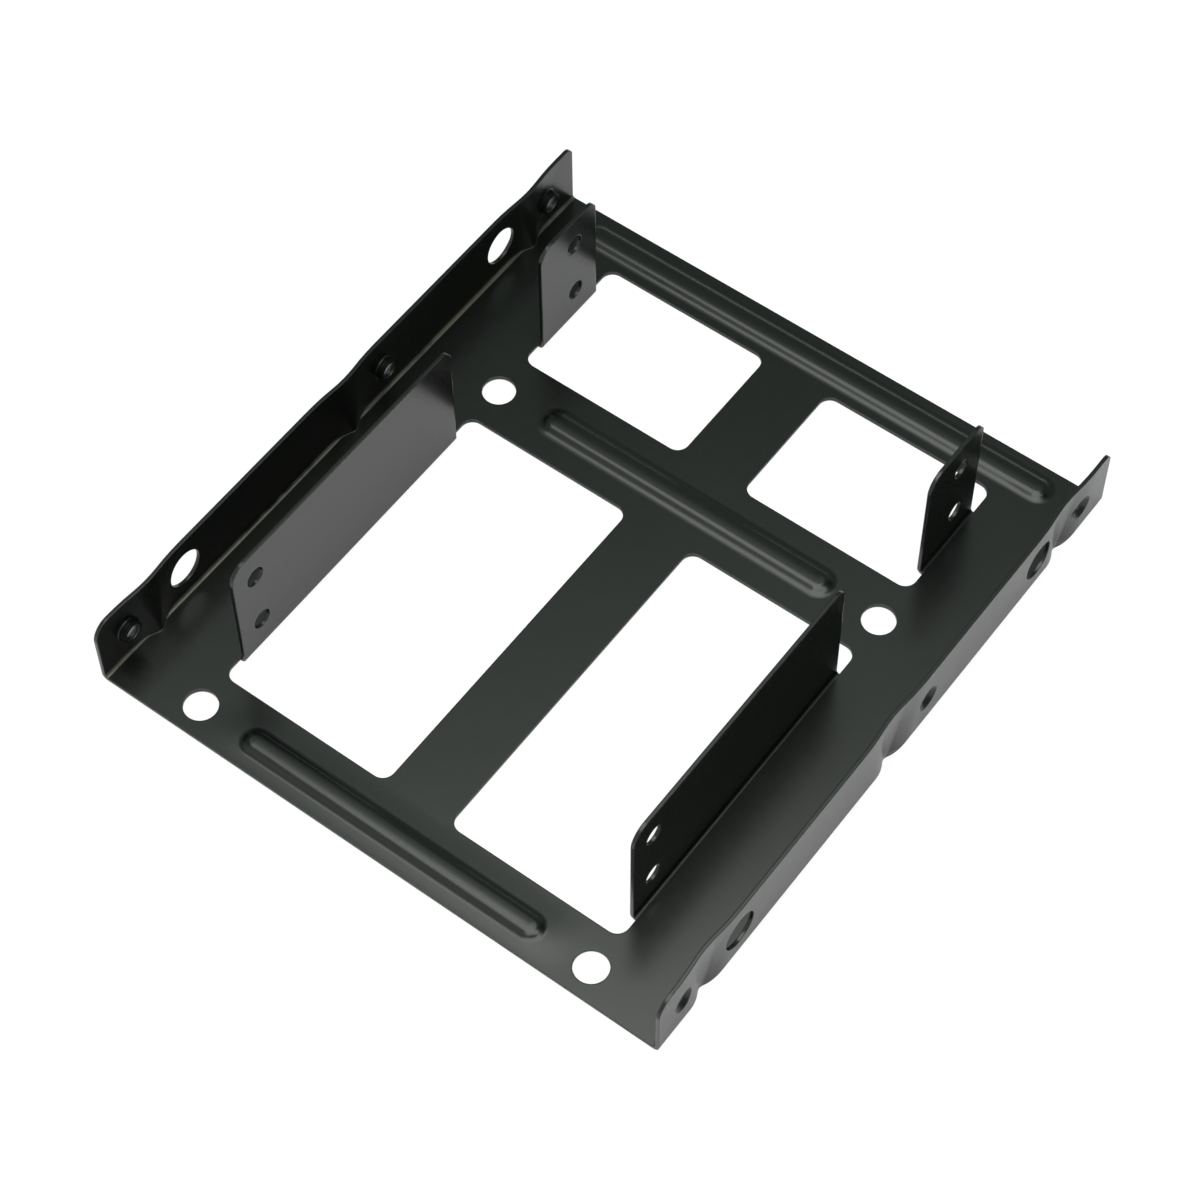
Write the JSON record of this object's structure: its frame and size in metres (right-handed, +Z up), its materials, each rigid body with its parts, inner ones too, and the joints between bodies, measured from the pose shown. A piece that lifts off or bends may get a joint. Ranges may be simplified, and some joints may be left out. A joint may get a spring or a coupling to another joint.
{
  "type": "drive bay adapter bracket",
  "caption": "Folded sheet steel tray that holds small drives between upright tabs and screws into a large drive bay by threaded side walls.",
  "frame": {"origin": "on the lower face of the floor, under the middle of the overall length and width", "axes": "+X across the bay from one side wall to the other, +Y from the front edge with the wide floor bar holes to the rear edge, +Z up, the way the walls and tabs stand"},
  "size_m": [0.1016, 0.1146, 0.0232],
  "materials": {
    "black_paint": "satin black paint with a faint green cast, thin and even over folds and hole edges"
  },
  "bodies": {
    "root": {"bracket": "black_paint"}
  },
  "joints": []
}
